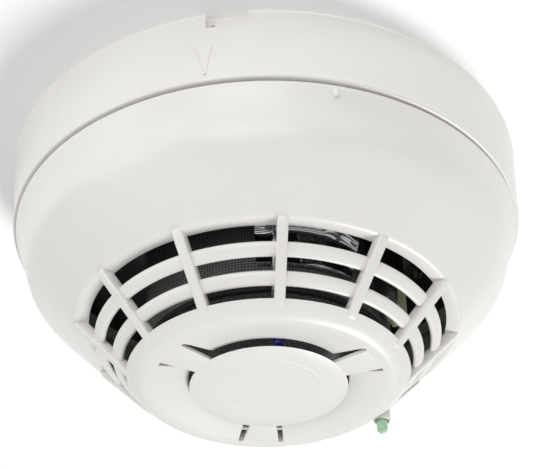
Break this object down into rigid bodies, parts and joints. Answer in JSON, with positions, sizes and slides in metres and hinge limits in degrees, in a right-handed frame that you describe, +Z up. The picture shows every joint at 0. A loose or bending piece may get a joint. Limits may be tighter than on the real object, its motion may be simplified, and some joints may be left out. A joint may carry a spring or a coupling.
{
  "type": "heat detector",
  "caption": "Round ceiling fire detector: white twist-on head with a ribbed air grille and sensor disc on a shallow screw-terminal base.",
  "frame": {"origin": "centre of the mounting base's ceiling face", "axes": "+Z up, out of the ceiling face and along the axis of the twist lock; the head hangs down, to -Z; -Y is the front, in line with one rib of the grille"},
  "size_m": [0.104, 0.104, 0.0509],
  "materials": {
    "white_plastic": "warm white moulded plastic, satin to gloss",
    "inner_plastic": "white moulded plastic, matte",
    "black_plastic": "black moulded plastic",
    "plated_brass": "plated sheet brass",
    "zinc_steel": "zinc plated steel",
    "screen_mesh": "black woven wire mesh",
    "black_laminate": "black solder-masked laminate",
    "tinned_steel": "bright tinned sheet steel",
    "tinned_wire": "tinned copper wire",
    "blue_epoxy": "navy blue epoxy dip",
    "green_clear_plastic": "translucent green moulding",
    "pale_clear_plastic": "translucent pale yellow-green moulding",
    "emitter_resin": "blue-tinted clear resin",
    "photodiode_resin": "dark daylight-blocking resin",
    "led_body": "white moulded lamp body",
    "chip_resin": "black moulded resin",
    "black_sleeve": "black shrink sleeve"
  },
  "bodies": {
    "base": {"mounting_base": "white_plastic", "contact_spring_1": "plated_brass", "contact_spring_2": "plated_brass", "contact_spring_3": "plated_brass", "contact_spring_4": "plated_brass", "clamp_plate_1": "plated_brass", "clamp_plate_2": "plated_brass", "clamp_plate_3": "plated_brass", "clamp_plate_4": "plated_brass", "terminal_screw_1": "zinc_steel", "terminal_screw_2": "zinc_steel", "terminal_screw_3": "zinc_steel", "terminal_screw_4": "zinc_steel"},
    "tamper": {"tamper_lock": "inner_plastic"},
    "head": {"rear_shell": "inner_plastic", "contact_blade_1": "plated_brass", "contact_blade_2": "plated_brass", "contact_blade_3": "plated_brass", "contact_blade_4": "plated_brass", "circuit_board": "black_laminate", "board_screw_1": "zinc_steel", "board_screw_2": "zinc_steel", "board_screw_3": "zinc_steel", "chamber_base": "black_plastic", "chamber_cap": "black_plastic", "insect_screen": "screen_mesh", "ir_emitter": "emitter_resin", "photodiode": "photodiode_resin", "sensor_shield": "tinned_steel", "thermistor": "blue_epoxy", "thermistor_leads": "tinned_wire", "status_led": "led_body", "light_pipe": "green_clear_plastic", "light_guide": "pale_clear_plastic", "microcontroller": "chip_resin", "capacitor": "black_sleeve"},
    "cover": {"front_cover": "white_plastic"}
  },
  "joints": [
    {"name": "head_twist", "type": "hinge", "parent": "base", "child": "head", "pos_m": [0, 0, -0.0094], "axis": [0, 0, -1], "range_deg": [0, 27.5]},
    {"name": "cover_release", "type": "slide", "parent": "head", "child": "cover", "axis": [0, 0, -1], "range_m": [0, 0.04]},
    {"name": "tamper_set", "type": "slide", "parent": "base", "child": "tamper", "axis": [0, 0, -1], "range_m": [0, 0.0026]}
  ]
}
